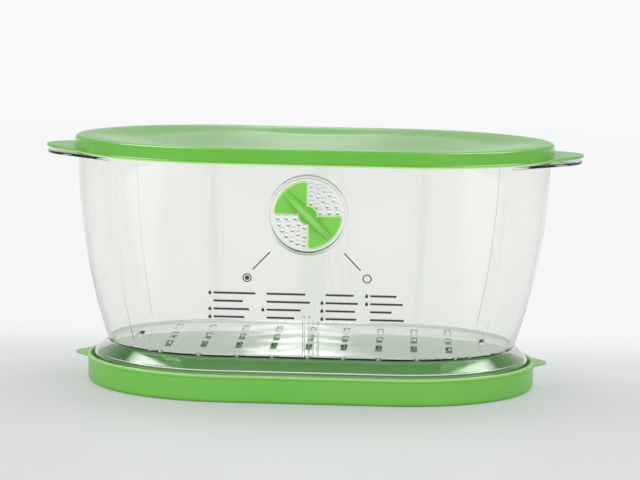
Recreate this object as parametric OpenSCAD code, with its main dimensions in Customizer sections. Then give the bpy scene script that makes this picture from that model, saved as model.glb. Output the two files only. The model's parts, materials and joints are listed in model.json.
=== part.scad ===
// Produce keeper: a clear waisted bin with a turning vent, a lift-off lid and a water tray
// Everything is in millimetres, the underside of the tray is z = 0, and the front faces -Y

/* [Plan shape] */
// Distance between the centres of the two round ends
end_spacing = 109; // [90:1:130]

/* [Bin] */
// Outer radius of each round end at the rim
rim_r = 102.7; // [98:0.1:110]
// Outer radius of each round end at the waist
waist_r = 82; // [76:0.5:88]
// Height of the bin from the edge of its foot to its rim
bin_h = 159.2; // [140:0.2:180]
// Height of the waist above the edge of the foot
waist_h = 27; // [24:0.5:32]
// Wall thickness of the bin
bin_wall = 2.2; // [1.8:0.1:2.8]
// Height of the nearly upright band below the rim
upright_h = 11.9; // [8:0.1:16]
// Draft of that band, in degrees from upright
wall_draft = 1; // [0.5:0.25:2]
// How far the foot flares out past the waist
foot_flare = 8.8; // [7.5:0.1:10.5]
// Slope of the flare, in degrees from upright
flare_angle = 50; // [42:1:56]
// Radius of the hollow blend at the waist, outside
waist_fillet = 3; // [2:0.5:4]
// Radius of the foot's shoulder, outside
shoulder_r = 4.5; // [3.5:0.25:6]
// Thickness of the bin floor
floor_t = 2.2; // [1.8:0.1:3]
// How far the rim's lip stands out
rim_lip = 0.4; // [0.2:0.1:0.6]
// Height of the rim's lip
rim_lip_h = 2.6; // [2:0.2:4]

/* [Floor slots] */
// Width of a drain slot
slot_w = 3.6; // [2.5:0.1:3.8]
// Length of a drain slot, over its round ends
slot_l = 26; // [18:1:30]
// Distance between slots along the bin
slot_pitch = 23; // [18:0.5:28]
// Distance between rows of slots
slot_row_pitch = 38; // [34:1:44]
// Plain margin between the slots and the wall
slot_margin = 6; // [4:0.5:12]

/* [Divider channel] */
// Thickness of each rib of the channel
rib_t = 1.6; // [1.2:0.1:2]
// Width of the channel between its ribs
channel_w = 1.9; // [1.6:0.1:2.6]
// How far the ribs stand in from the wall
rib_depth = 3; // [2:0.25:5]
// Height of the ribs above the bin floor
rib_h = 27; // [20:0.5:40]

/* [Vent] */
// Distance of the vent's centre below the rim
vent_drop = 39.2; // [35:0.2:47]
// Thickness of the seat's raised ring
seat_ring_t = 1.9; // [1.4:0.1:2.2]
// How far the ring stands out from the wall
seat_proud = 0.9; // [0.5:0.1:1.5]
// Depth of the pierced plate below the wall's face
plate_depth = 2.6; // [2.2:0.1:3]
// Thickness of the pierced plate
plate_t = 2; // [1.6:0.1:2.6]
// Radius of an air hole
hole_r = 1.4; // [1:0.1:1.5]
// Distance of the outer row of air holes inside the rim of the dial's wings
hole_row_inset = 2.9; // [2.4:0.1:3.4]
// Distance between rows of air holes
hole_row_step = 5.5; // [5:0.1:5.5]
// Numbers of air holes in a quarter, from the outer row inwards
hole_counts = [7, 5, 3];
// Distance of the first and last hole of a row from the quarter's edge
hole_inset = 2; // [1.9:0.1:2.4]

/* [Vent dial] */
// Radius of the dial's two wings
wing_r = 22; // [21:0.1:23]
// Thickness of the wings
wing_t = 1.6; // [1.2:0.1:2.2]
// Radius of a wing's outer corners
wing_corner_r = 2.2; // [1.5:0.1:3]
// Radius of the dial's hub
hub_r = 6.5; // [5.6:0.1:6.6]
// Radius of the stem that turns in the plate's bore
stem_r = 3.9; // [3.4:0.1:4.2]
// How far the stem's snap lip stands out
snap_lip = 0.9; // [0.6:0.1:1.2]
// Height of the snap head behind the plate
snap_h = 3.2; // [2.6:0.1:4]
// Radius of the stem's hollow
stem_hollow_r = 2.1; // [1.5:0.1:2.4]
// Width of the slits that let the stem spring
slit_w = 1.2; // [0.8:0.1:1.6]
// Height of the grip blade above the wings
grip_h = 4.3; // [3:0.1:4.8]
// Width of the grip blade at its root, in the middle
grip_root_w = 9; // [8:0.2:10]
// Width of the grip blade at its root, at its ends
grip_root_end_w = 3.6; // [3:0.2:5]
// Width of the grip blade at its crest, in the middle
grip_crest_w = 5.2; // [4:0.2:6]
// Width of the grip blade at its crest, at its ends
grip_crest_end_w = 2.2; // [1.6:0.2:2.8]

/* [Handles] */
// Distance of a bin handle's tip from the middle of the bin
handle_reach = 178.2; // [172:0.2:182]
// Radius of the rounded nose of a bin handle
handle_nose_r = 45; // [35:1:50]
// Thickness of a bin handle
handle_t = 1.7; // [1.4:0.1:2.2]
// Gap between a bin handle and the bottom of the lid's skirt
handle_gap = 0.8; // [0.5:0.1:1.5]

/* [Lid] */
// Height of the lid's skirt below the rim's seat
skirt_h = 8.1; // [7:0.1:12]
// Wall thickness of the skirt
skirt_t = 1.6; // [1.2:0.1:2]
// Thickness of the lid's top
lid_t = 2.1; // [1.6:0.1:2.8]
// Radius of the lid's top edge
lid_edge_r = 2.4; // [1.5:0.1:3]
// How far the bead along the skirt's bottom stands out
bead = 0.7; // [0.4:0.1:1]
// Height of that bead
bead_h = 1.4; // [1:0.1:2]
// Depth of the shallow dish in the top
dish_depth = 2.4; // [1:0.1:3]
// Width of the dish's sloping border
dish_border = 38; // [30:1:50]
// Thickness of the plug wall inside the bin's mouth
plug_t = 1.4; // [1:0.1:1.8]
// Height of the plug wall
plug_h = 7; // [5:0.5:9]
// How far a lid tab reaches past the bin handle below it
tab_overhang = 0.8; // [0.4:0.1:2]
// Radius of the rounded nose of a lid tab
tab_nose_r = 34; // [25:1:45]
// Thickness of a lid tab
tab_t = 1.6; // [1.3:0.1:2.2]
// Rise of a lid tab from its root to its tip
tab_rise = 1.6; // [0.5:0.1:3]

/* [Water tray] */
// Height of the tray
tray_h = 18.1; // [16:0.1:22]
// Wall thickness of the tray
tray_wall = 2; // [1.6:0.1:2.4]
// Thickness of the tray's floor
tray_floor = 2.5; // [2:0.1:3.5]
// Draft of the tray's wall, in degrees
tray_draft = 0.8; // [0.5:0.1:1.5]
// Radius of the tray's bottom edge
tray_edge_r = 3; // [2:0.25:4]
// How far the tray's rim bead stands out
tray_bead = 0.5; // [0.3:0.1:0.8]
// Height of that bead
tray_bead_h = 2; // [1.5:0.1:3]
// Distance from the tray's rim to the tip of a thumb tab
thumb_reach = 8.6; // [6:0.1:12]
// Radius of a thumb tab's nose
thumb_nose_r = 9; // [6:0.5:11]
// Half width of a thumb tab where it leaves the rim
thumb_root = 22; // [16:0.5:28]
// Thickness of a thumb tab
thumb_t = 1.6; // [1.2:0.1:2]

/* [Fits] */
// Space between the bin's foot and the tray's floor
seat_gap = 0.2; // [0.1:0.1:0.5]
// Space between the bin's rim and the lid
lid_gap = 0.3; // [0.3:0.1:0.6]
// Space between the rim's lip and the lid's skirt
skirt_clearance = 0.3; // [0.3:0.1:0.8]
// Space between the bin's mouth and the lid's plug wall
plug_clearance = 0.6; // [0.4:0.1:1]
// Space between the bin's foot and the tray's wall
tray_clearance = 2; // [1.5:0.1:3]
// Space between the dial's wings and the seat's ring
wing_clearance = 1.8; // [1.2:0.1:2.4]
// Space between the dial and the plate, in front and behind
dial_gap = 0.3; // [0.3:0.1:0.5]
// Radial play of the stem in its bore
stem_play = 0.06; // [0.04:0.01:0.1]

/* [Hidden] */
$fn = 96;

// Extra length that carries a cut clear of the faces it passes
over = 1;
// Bevel on small edges
bevel = 0.5;
// Steps along a long curve and a blend
long_steps = 16;
blend_steps = 6;
// Steps across the dish's border: odd, so that no two faces lie in one plane half way
dish_steps = 13;

// Heights of the bin
foot_z = tray_floor + seat_gap;
rim_z = foot_z + bin_h;
waist_z = foot_z + waist_h;
floor_top_z = waist_z;

// The long arc of the bin's wall: from the end of the upright band to the waist
arc_top_z = rim_z - upright_h;
arc_top_r = rim_r - upright_h * tan(wall_draft);
arc_drop = arc_top_z - waist_z;
arc_inset = arc_top_r - waist_r;
chord_angle = atan(arc_inset / arc_drop);
waist_angle = 2 * chord_angle - wall_draft;
wall_arc_r = norm([arc_inset, arc_drop]) / (2 * sin(chord_angle - wall_draft));
wall_arc_c = [arc_top_r, arc_top_z] + wall_arc_r * [-cos(wall_draft), sin(wall_draft)];

// The blend at the waist and the shoulder of the foot
foot_r = waist_r + foot_flare;
blend_c = [waist_r, waist_z] + waist_fillet * [cos(waist_angle), -sin(waist_angle)];
blend_end = blend_c - waist_fillet * [cos(flare_angle), sin(flare_angle)];
shoulder_start_r = foot_r - shoulder_r * (1 - cos(flare_angle));
shoulder_start_z = blend_end[1] - (shoulder_start_r - blend_end[0]) / tan(flare_angle);
shoulder_c = [shoulder_start_r, shoulder_start_z] - shoulder_r * [cos(flare_angle), sin(flare_angle)];

// The vent: its place on the wall's outer face and the lean of that face
vent_z = rim_z - vent_drop;
vent_lean = asin((wall_arc_c[1] - vent_z) / wall_arc_r);
vent_y = -(wall_arc_c[0] + wall_arc_r * cos(vent_lean));
plate_back = -plate_depth - plate_t;
ring_in_r = wing_r + wing_clearance;
seat_r = ring_in_r + seat_ring_t;
hole_row_r = wing_r - hole_row_inset;
bore_r = stem_r + stem_play;

// The dial, in the vent's own frame, where z = 0 is the wall's face
wing_back = -plate_depth + dial_gap;
wing_front = wing_back + wing_t;
grip_reach = wing_r - bevel;

// The lid
seat_z = rim_z + lid_gap;
lid_z = seat_z + lid_t;
skirt_z = seat_z - skirt_h;
skirt_in_r = rim_r + rim_lip + skirt_clearance;
skirt_r = skirt_in_r + skirt_t;
plug_r = arc_top_r - bin_wall - plug_clearance;
plug_in_r = plug_r - plug_t;
dish_out_r = plug_in_r - over;
dish_in_r = dish_out_r - dish_border;
tab_reach = handle_reach + tab_overhang;

// The tray
tray_in_r = foot_r + tray_clearance;
tray_r = tray_in_r + tray_wall;
tray_base_r = tray_r - tray_h * tan(tray_draft);
thumb_x = end_spacing / 2 + tray_r + thumb_reach - thumb_nose_r;

function turned(p) = [for (i = [len(p) - 1:-1:0]) p[i]];

function without_first(p) = [for (i = [1:len(p) - 1]) p[i]];

function arc_points(c, r, from, to, steps) =
    [for (i = [0:steps]) c + r * [cos(from + (to - from) * i / steps), sin(from + (to - from) * i / steps)]];

// Angle on the wall's long arc, taken at a depth below the outer face, where it passes a height
function wall_angle(z, depth) = asin((wall_arc_c[1] - z) / (wall_arc_r - depth));

// The bin's wall from the upright band to the edge of the foot, at a depth below the outer face
function wall_path(depth) = concat(
    arc_points(wall_arc_c, wall_arc_r - depth, -wall_draft, -waist_angle, long_steps),
    without_first(arc_points(blend_c, waist_fillet + depth, 180 - waist_angle, 180 + flare_angle, blend_steps)),
    arc_points(shoulder_c, shoulder_r - depth, flare_angle, 0, blend_steps),
    [[foot_r - depth, foot_z]]);

// A soft step from one height to another over the dish's border
function dish_points(z) = [for (i = [0:dish_steps])
    [dish_in_r + dish_border * i / dish_steps, z - dish_depth * (1 + cos(180 * i / dish_steps)) / 2]];

// Carries a half section round the keeper's plan: a half turn at each end and two straight runs
module carried_round() {
    for (side = [0, 180])
        rotate([0, 0, side])
            translate([end_spacing / 2, 0, 0])
                rotate([0, 0, -90])
                    rotate_extrude(angle = 180)
                        children();
    for (side = [0, 1])
        mirror([0, side, 0])
            translate([-end_spacing / 2, 0, 0])
                rotate([90, 0, 90])
                    linear_extrude(end_spacing)
                        children();
}

// Angle round an end at which a leaf's straight side leaves it
function leaf_spread(end_r, reach, nose_r) = acos((end_r - nose_r) / (reach - nose_r - end_spacing / 2));

// A leaf that leaves a round end along its tangents and closes in a round nose
module leaf(end_r, reach, nose_r, hollow_r) {
    spread = leaf_spread(end_r, reach, nose_r);
    nose_x = reach - nose_r;
    side = [cos(spread), sin(spread)];
    root = [end_spacing / 2, 0] + end_r * side;
    touch = [nose_x, 0] + nose_r * side;
    difference() {
        union() {
            translate([nose_x, 0]) circle(nose_r);
            polygon([root, touch, [touch[0], -touch[1]], [root[0], -root[1]]]);
        }
        translate([end_spacing / 2, 0]) circle(hollow_r);
    }
}

// Puts a child made for the +X end at both ends
module at_both_ends() {
    for (side = [0, 180])
        rotate([0, 0, side])
            children();
}

// Puts a child made in the vent's frame, with +Z out of the wall and +Y up it, on the bin
module on_vent() {
    translate([0, vent_y, vent_z])
        rotate([90 + vent_lean, 0, 0])
            children();
}

module bin_wall_section() {
    outside = concat(
        [[rim_r + rim_lip - bevel, rim_z], [rim_r + rim_lip, rim_z - bevel]],
        [[rim_r + rim_lip, rim_z - rim_lip_h], [rim_r, rim_z - rim_lip_h - rim_lip]],
        wall_path(0));
    inside = concat(
        [[rim_r - bin_wall + bevel, rim_z], [rim_r - bin_wall, rim_z - bevel]],
        wall_path(bin_wall));
    polygon(concat(outside, turned(inside)));
}

// The floor reaches half way into the wall
module bin_floor_section() {
    edge_r = wall_arc_c[0] + (wall_arc_r - bin_wall / 2) * cos(waist_angle);
    translate([0, floor_top_z - floor_t]) square([edge_r, floor_t]);
}

module drain_slot() {
    straight = slot_l - slot_w;
    translate([0, 0, floor_top_z - floor_t - over])
        linear_extrude(floor_t + 2 * over) {
            for (end = [-1, 1])
                translate([0, end * straight / 2]) circle(slot_w / 2, $fn = 24);
            square([slot_w, straight], center = true);
        }
}

// Rows of slots across the floor, each kept a margin inside the wall
module drain_slots() {
    for (row = [-1:1]) {
        far_y = abs(row) * slot_row_pitch + slot_l / 2;
        free_r = waist_r - bin_wall - slot_margin;
        reach = end_spacing / 2 + sqrt(pow(free_r, 2) - pow(far_y, 2)) - slot_w / 2;
        steps = floor(reach / slot_pitch);
        for (step = [-steps:steps])
            translate([step * slot_pitch, row * slot_row_pitch, 0])
                drain_slot();
    }
}

// One rib of the divider's channel, standing on the front wall's inner face
module channel_rib() {
    root = bin_wall / 2;
    crest = bin_wall + rib_depth;
    top_z = floor_top_z + rib_h;
    low_z = floor_top_z - floor_t / 2;
    translate([-rib_t / 2, 0, 0])
        rotate([90, 0, 90])
            linear_extrude(rib_t)
                mirror([1, 0])
                    polygon(concat(
                        arc_points(wall_arc_c, wall_arc_r - root,
                            -wall_angle(top_z, root), -wall_angle(low_z, root), blend_steps),
                        arc_points(wall_arc_c, wall_arc_r - crest,
                            -wall_angle(low_z, crest), -wall_angle(top_z, crest), blend_steps)));
}

module divider_channels() {
    for (face = [0, 180])
        rotate([0, 0, face])
            for (side = [-1, 1])
                translate([side * (channel_w + rib_t) / 2, 0, 0])
                    channel_rib();
}

module air_holes() {
    for (quarter = [0, 180])
        for (row = [0:len(hole_counts) - 1]) {
            row_r = hole_row_r - row * hole_row_step;
            first = asin(hole_inset / row_r);
            for (i = [0:hole_counts[row] - 1])
                rotate([0, 0, quarter + first + (90 - 2 * first) * i / (hole_counts[row] - 1)])
                    translate([row_r, 0, plate_back - over])
                        cylinder(r = hole_r, h = plate_t + 2 * over, $fn = 24);
        }
}

// The hole in the wall ends inside the seat's ring
module seat_opening() {
    translate([0, 0, plate_back])
        cylinder(r = seat_r - seat_ring_t / 2, h = -2 * plate_back);
}

module vent_seat() {
    difference() {
        translate([0, 0, plate_back])
            cylinder(r = seat_r, h = seat_proud - plate_back);
        translate([0, 0, -plate_depth])
            cylinder(r = ring_in_r, h = plate_depth + seat_proud + over);
        translate([0, 0, plate_back - over])
            cylinder(r = bore_r, h = plate_t + 2 * over);
        air_holes();
    }
}

module bin_handles() {
    at_both_ends()
        translate([0, 0, skirt_z - handle_gap - handle_t])
            linear_extrude(handle_t)
                leaf(rim_r, handle_reach, handle_nose_r, rim_r - bin_wall / 2);
}

module bin() {
    color([0.93, 0.96, 0.95, 0.35]) {
        difference() {
            union() {
                carried_round() bin_wall_section();
                carried_round() bin_floor_section();
                bin_handles();
                divider_channels();
            }
            drain_slots();
            on_vent() seat_opening();
        }
        on_vent() vent_seat();
    }
}

// A quarter of a round plate, up and to the left, with its outer corners rounded
module wing_outline() {
    corner_c = [-wing_corner_r, sqrt(pow(wing_r - wing_corner_r, 2) - pow(wing_corner_r, 2))];
    corner_tip = corner_c * (wing_r + over) / (wing_r - wing_corner_r);
    difference() {
        intersection() {
            circle(wing_r);
            translate([-wing_r - over, 0]) square(wing_r + over);
        }
        for (turn = [0, 1])
            rotate(turn * 90)
                mirror([turn, 0])
                    difference() {
                        polygon([corner_c, [over, corner_c[1]], [over, wing_r + over], corner_tip]);
                        translate(corner_c) circle(wing_corner_r, $fn = 32);
                    }
    }
}

// The plan of the grip blade, which narrows from the middle to its ends
module blade_plan(mid_w, end_w) {
    for (side = [0, 1])
        mirror([side, 0])
            polygon([[0, mid_w / 2], [grip_reach, end_w / 2], [grip_reach, -end_w / 2], [0, -mid_w / 2]]);
}

// A blade along the dial's other diagonal, drafted on its sides and falling to the rim
module grip_blade() {
    crest_z = wing_front + grip_h;
    crest_arc_r = (pow(grip_reach, 2) + pow(grip_h, 2)) / (2 * grip_h);
    rotate([0, 0, -45])
        intersection() {
            hull() {
                translate([0, 0, wing_back + wing_t / 2])
                    linear_extrude(wing_t / 2)
                        blade_plan(grip_root_w, grip_root_end_w);
                translate([0, 0, crest_z])
                    linear_extrude(over)
                        blade_plan(grip_crest_w, grip_crest_end_w);
            }
            translate([0, 0, crest_z - crest_arc_r])
                rotate([90, 0, 0])
                    cylinder(r = crest_arc_r, h = 2 * grip_root_w, center = true, $fn = 120);
        }
}

// The stem passes the plate and holds behind it with a slit snap head
module snap_stem() {
    lip_z = plate_back - dial_gap;
    end_z = lip_z - snap_h;
    difference() {
        union() {
            translate([0, 0, end_z]) cylinder(r = stem_r, h = wing_back + bevel - end_z);
            translate([0, 0, end_z]) cylinder(r1 = stem_r - bevel / 2, r2 = stem_r + snap_lip, h = snap_h);
        }
        translate([0, 0, end_z - over]) cylinder(r = stem_hollow_r, h = wing_back - end_z);
        for (turn = [0, 90])
            rotate([0, 0, turn])
                translate([-2 * stem_r, -slit_w / 2, end_z - over])
                    cube([4 * stem_r, slit_w, lip_z - end_z + over]);
    }
}

module vent_dial() {
    color([0.42, 0.72, 0.27])
        on_vent() {
            translate([0, 0, wing_back])
                linear_extrude(wing_t) {
                    circle(hub_r);
                    wing_outline();
                    rotate(180) wing_outline();
                }
            grip_blade();
            snap_stem();
        }
}

module lid_section() {
    top = concat(
        [[0, lid_z - dish_depth]],
        dish_points(lid_z),
        arc_points([skirt_r - lid_edge_r, lid_z - lid_edge_r], lid_edge_r, 90, 0, blend_steps),
        [[skirt_r, skirt_z + bead_h + bead], [skirt_r + bead, skirt_z + bead_h], [skirt_r + bead, skirt_z]]);
    under = concat(
        [[skirt_in_r, skirt_z], [skirt_in_r, seat_z], [plug_r, seat_z], [plug_r, seat_z - plug_h]],
        [[plug_in_r, seat_z - plug_h], [plug_in_r, seat_z]],
        turned(dish_points(seat_z)),
        [[0, seat_z - dish_depth]]);
    polygon(concat(top, under));
}

// The tabs rise from the skirt's bottom edge to their tips
module lid_tabs() {
    root_x = end_spacing / 2 + skirt_r * cos(leaf_spread(skirt_r, tab_reach, tab_nose_r));
    rise_angle = atan(tab_rise / (tab_reach - root_x));
    at_both_ends()
        intersection() {
            translate([0, 0, skirt_z - over])
                linear_extrude(tab_rise + tab_t + 2 * over)
                    leaf(skirt_r, tab_reach, tab_nose_r, skirt_r - skirt_t / 2);
            translate([root_x, 0, skirt_z])
                rotate([0, -rise_angle, 0])
                    translate([-tab_reach / 2, -tab_reach / 2, 0])
                        cube([tab_reach, tab_reach, tab_t]);
        }
}

module lid() {
    color([0.45, 0.75, 0.3]) {
        carried_round() lid_section();
        lid_tabs();
    }
}

module tray_section() {
    outside = concat(
        [[0, 0]],
        arc_points([tray_base_r - tray_edge_r, tray_edge_r], tray_edge_r, -90, 0, blend_steps),
        [[tray_r, tray_h - tray_bead_h - tray_bead], [tray_r + tray_bead, tray_h - tray_bead_h]],
        [[tray_r + tray_bead, tray_h - bevel], [tray_r + tray_bead - bevel, tray_h]]);
    inside = concat(
        [[tray_in_r + bevel, tray_h], [tray_in_r, tray_h - bevel]],
        [[tray_base_r - tray_wall, tray_floor + bevel], [tray_base_r - tray_wall - bevel, tray_floor]],
        [[0, tray_floor]]);
    polygon(concat(outside, inside));
}

// A short tab with a round nose, from inside the tray's wall outwards
module thumb_tab() {
    root_r = tray_r - tray_wall / 2;
    root = [end_spacing / 2 + sqrt(pow(root_r, 2) - pow(thumb_root, 2)), thumb_root];
    to_nose = [thumb_x, 0] - root;
    direction = atan2(to_nose[1], to_nose[0]) + asin(thumb_nose_r / norm(to_nose));
    side_l = sqrt(pow(norm(to_nose), 2) - pow(thumb_nose_r, 2));
    touch = root + side_l * [cos(direction), sin(direction)];
    difference() {
        union() {
            translate([thumb_x, 0]) circle(thumb_nose_r, $fn = 48);
            polygon([root, touch, [touch[0], -touch[1]], [root[0], -root[1]]]);
        }
        translate([end_spacing / 2, 0]) circle(root_r);
    }
}

module water_tray() {
    color([0.45, 0.75, 0.3]) {
        carried_round() tray_section();
        at_both_ends()
            translate([0, 0, tray_h - bevel - thumb_t])
                linear_extrude(thumb_t)
                    thumb_tab();
    }
}

water_tray();
bin();
vent_dial();
lid();
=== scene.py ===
"""The looks of a produce keeper: clear bin, green lid, green water tray and a turning vent dial.

The keeper's sizes are in millimetres and the stage's in metres, and every mesh is written in metres.
The keeper's plan is two half circles joined by two straight runs, and the front faces -Y.
"""

import json
import math

import bmesh
import bpy
from mathutils import Matrix, Vector


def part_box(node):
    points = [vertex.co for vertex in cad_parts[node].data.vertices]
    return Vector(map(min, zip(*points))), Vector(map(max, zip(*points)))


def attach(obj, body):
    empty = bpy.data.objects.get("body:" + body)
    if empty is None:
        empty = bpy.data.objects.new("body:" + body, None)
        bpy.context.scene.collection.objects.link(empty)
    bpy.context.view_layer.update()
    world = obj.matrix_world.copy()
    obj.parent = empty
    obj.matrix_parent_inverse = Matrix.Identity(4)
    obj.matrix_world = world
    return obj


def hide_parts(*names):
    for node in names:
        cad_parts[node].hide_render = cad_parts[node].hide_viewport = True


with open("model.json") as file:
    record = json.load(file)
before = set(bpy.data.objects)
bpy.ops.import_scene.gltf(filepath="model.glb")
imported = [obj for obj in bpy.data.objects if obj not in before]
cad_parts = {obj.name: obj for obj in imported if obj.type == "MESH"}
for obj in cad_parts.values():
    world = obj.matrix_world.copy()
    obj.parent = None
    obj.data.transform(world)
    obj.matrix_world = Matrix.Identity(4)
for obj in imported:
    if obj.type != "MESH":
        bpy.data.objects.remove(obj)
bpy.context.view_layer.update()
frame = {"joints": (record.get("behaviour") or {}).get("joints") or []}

MM = 0.001
scene = bpy.context.scene


def box_mm(node):
    """Lowest and highest corner of a solid, in millimetres."""
    low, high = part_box(node)
    return low / MM, high / MM


def joint_named(name):
    """A joint of the frame by its name."""
    return next(joint for joint in frame["joints"] if joint["name"] == name)


tray_high = box_mm("water_tray")[1]
bin_low, bin_high = box_mm("bin")
lid_low, lid_high = box_mm("lid")
vent_place = Vector(joint_named("vent_turn")["pos_m"]) / MM
vent_inward = Vector(joint_named("vent_turn")["axis"])

# Plan: half the length of a straight run, and the columns that a sweep has round it
HALF_RUN = 54.5
TURN_STEPS = 96
RUN_STEPS = 24
EVEN_TURN = [-90 + 180 * i / TURN_STEPS for i in range(TURN_STEPS + 1)]

# Meshes: rounds of edges, the angle in degrees from which an edge stays sharp, how far a cutter
# reaches past what it cuts, and the distance in metres within which points are one
EDGE_ROUND = 0.5
TAB_ROUND = 0.45
SHARP_ANGLE = 32
CUT_PAST = 1
MERGE_DIST = 1e-7

# Bin
RIM_LIP = 0.4
RIM_LIP_H = 2.6
RIM_R = bin_high.y - RIM_LIP
RIM_Z = bin_high.z
FOOT_Z = bin_low.z
FOOT_H = 27.0
FOOT_FLARE = 8.8
WAIST_R = 82.0
WAIST_Z = FOOT_Z + FOOT_H
WALL_T = 2.2
UPRIGHT_H = 11.9
WALL_DRAFT = 1.0
FOOT_R = WAIST_R + FOOT_FLARE
FLARE_ANGLE = 50.0
WAIST_FILLET = 3.0
SHOULDER_R = 4.5
BIN_FLOOR_T = 2.2

# Fine lines where the bin's mould parts, at four places round the plan. The shares of the width, in
# degrees, place the wall's columns beside a line, and the first of them is the edge of its crest.
PARTING_ANGLES = (-45.0, 45.0)
PARTING_WIDTH = 0.3
PARTING_SHARES = (0.3, 1, 1.6, 2.4)
PARTING_PROUD = 0.15
PARTING_MARGIN = 1

# Drain slots, flared a little at the top
SLOT_W = 3.6
SLOT_L = 26.0
SLOT_PITCH = 23.0
SLOT_ROW_PITCH = 38.0
SLOT_COUNTS = {-1: 9, 0: 11, 1: 9}
SLOT_FLARE = 0.5
SLOT_FLARE_H = 0.4
SLOT_FLARE_TOP = 0.1

# Channel for a divider, front and back
RIB_T = 1.6
CHANNEL_W = 1.9
RIB_DEPTH = 3.0
RIB_H = 27.0
RIB_ROUND = 0.3

# Leaf handles of the bin, a little below the lid's skirt, and tabs of the lid
HANDLE_NOSE_R = 45.0
HANDLE_REACH = bin_high.x
HANDLE_T = 1.7
HANDLE_DROP = 0.8
HANDLE_Z = lid_low.z - HANDLE_DROP - HANDLE_T
TAB_REACH = lid_high.x
TAB_NOSE_R = 34.0
TAB_T = 1.6
TAB_RISE = 1.6

# Dial
WING_R = 22.0
WING_T = 1.6
WING_CORNER_R = 2.2
WING_ROUND = 0.7
WING_CLEARANCE = 1.8
HUB_R = 6.5
GRIP_H = 4.3
GRIP_REACH = WING_R - 0.5
GRIP_ROOT_W = (3.6, 9.0)
GRIP_CREST_W = (1.6, 3.6)
GRIP_SOFT = 1.3
GRIP_END_H = 0.04
SNAP_LIP = 0.9
SNAP_H = 3.2
STEM_R = 3.9
STEM_PLAY = 0.06
STEM_HOLLOW_R = 2.1
SLIT_W = 1.2

# Vent seat, measured from the wall's face along the vent's own axis
SEAT_RING_T = 1.9
SEAT_R = WING_R + WING_CLEARANCE + SEAT_RING_T
SEAT_PROUD = 0.9
PLATE_DEPTH = 2.6
PLATE_T = 2.0
PLATE_BACK = -PLATE_DEPTH - PLATE_T
HOLE_R = 1.4
HOLE_SINK = 0.35
HOLE_ROW_R = WING_R - 2.9
HOLE_ROW_STEP = 5.5
HOLE_COUNTS = (7, 5, 3)
HOLE_INSET = 2.0
BORE_R = STEM_R + STEM_PLAY
DIAL_GAP = 0.3
WING_BACK = -PLATE_DEPTH + DIAL_GAP
WING_FRONT = WING_BACK + WING_T

# Lid
LID_Z = lid_high.z
SKIRT_Z = lid_low.z
LID_BEAD = 0.7
LID_BEAD_H = 1.4
SKIRT_R = lid_high.y - LID_BEAD
SKIRT_T = 1.6
LID_T = 2.1
LID_EDGE_R = 2.4
LID_SEAT_Z = LID_Z - LID_T
DISH_DEPTH = 2.4
DISH_BORDER = 38.0
DISH_INSET = 1
LID_WAVE = 2.0
LID_WAVE_LENGTH = 140.0
PLUG_T = 1.4
PLUG_H = 7.0
PLUG_CLEARANCE = 0.6

# Water tray
TRAY_H = tray_high.z
TRAY_BEAD = 0.5
TRAY_BEAD_H = 2.0
TRAY_R = tray_high.y - TRAY_BEAD
TRAY_WALL = 2.0
TRAY_FLOOR = 2.5
TRAY_DRAFT = 0.8
TRAY_EDGE_R = 3.0
THUMB_NOSE_R = 9.0
THUMB_X = tray_high.x - THUMB_NOSE_R
THUMB_ROOT = 22.0
THUMB_T = 1.6

# Painted highlights on thin edges of the green plastic: how far each painted highlight fades, and its level
# on a crest or rim.
# On the lid it is strongest on upright faces.
DIAL_HIGHLIGHT_FADE = 0.3
CREST_HIGHLIGHT = 0.35
LID_HIGHLIGHT_TOP = SKIRT_Z + LID_BEAD_H - 0.3
LID_HIGHLIGHT_FADE = 0.7
LID_HIGHLIGHT_UPRIGHT = 1.2
TRAY_HIGHLIGHT_LEVEL = 0.85
TRAY_HIGHLIGHT_FADE = 1.4

# Camera: place in metres, turns in radians and lens in millimetres
CAMERA_PLACE = (0.06885, -1.8805, 0.30885)
CAMERA_YAW = -0.0341
CAMERA_PITCH = -0.1127
CAMERA_ROLL = 0.0201
CAMERA_LENS = 159.26

# Floor, in metres. Each fade is a range of the place and the values at its two ends.
FLOOR_RADIUS = 40.0
FLOOR_SIDES = 64
FLOOR_COLOUR = (0.63, 0.65, 0.64, 1)
FLOOR_GLOW = 0.45
GLOW_BACK = (-0.15, 0.22, 0.72, 0.93)
GLOW_FAR = (0.6, 2.6, 0.6, 0.95)
WHITE_BACK = (-0.05, 0.28, 0, 1)
WHITE_FAR = (0.6, 2.6, 0, 1)
WHITE_STRAIGHT = (0.7, 0.92, 0, 1)

# World. Each fade is a range of the direction's Y or Z and the values at its two ends.
BACKDROP_COLOUR = (0.99, 1.0, 0.994, 1)
BACKDROP_LEVEL = 0.95
SOFT_LIGHT = 0.58
WALL_FADE = (0.2, 0.7, 0.12, 0.44)
HORIZON_FADE = (0.03, 0.115, 1.9, 1)
CEILING_FADE = (0.18, 0.75, 1, 0.12)
THROUGH_FADE = (0.2, 0.6, 0.95, 0.34)

# Soft spots that show in gloss and through clear plastic: direction, half spread in degrees, strength
SOFT_SPOTS = (
    ((-0.40, 0.33, 0.855), 22, 6.0),
    ((0.46, 0.32, 0.83), 22, 5.0),
    ((-0.96, -0.26, -0.05), 26, 0.9),
    ((0.98, -0.17, -0.05), 24, 0.9),
    ((-0.039, 0.982, 0.17), 1.7, 1.8),
)
SPOT_CORE = 0.15

# Lamps: place, target, width and height in metres, and watts
LAMPS = {
    "left_box": ((-1.25, -1.3, 0.45), (0, 0, 0.08), 0.9, 0.9, 15),
    "right_box": ((1.25, -1.15, 0.65), (0, 0, 0.08), 0.9, 0.9, 12),
    "top_box": ((0, 0.3, 1.5), (0, 0, 0), 1.6, 0.9, 13),
}


# Outlines and sections

def arc(centre, radius, start, end, steps):
    """Points along an arc, with its angles in degrees."""
    turns = (math.radians(start + (end - start) * i / steps) for i in range(steps + 1))
    return [(centre[0] + radius * math.cos(a), centre[1] + radius * math.sin(a)) for a in turns]


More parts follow.
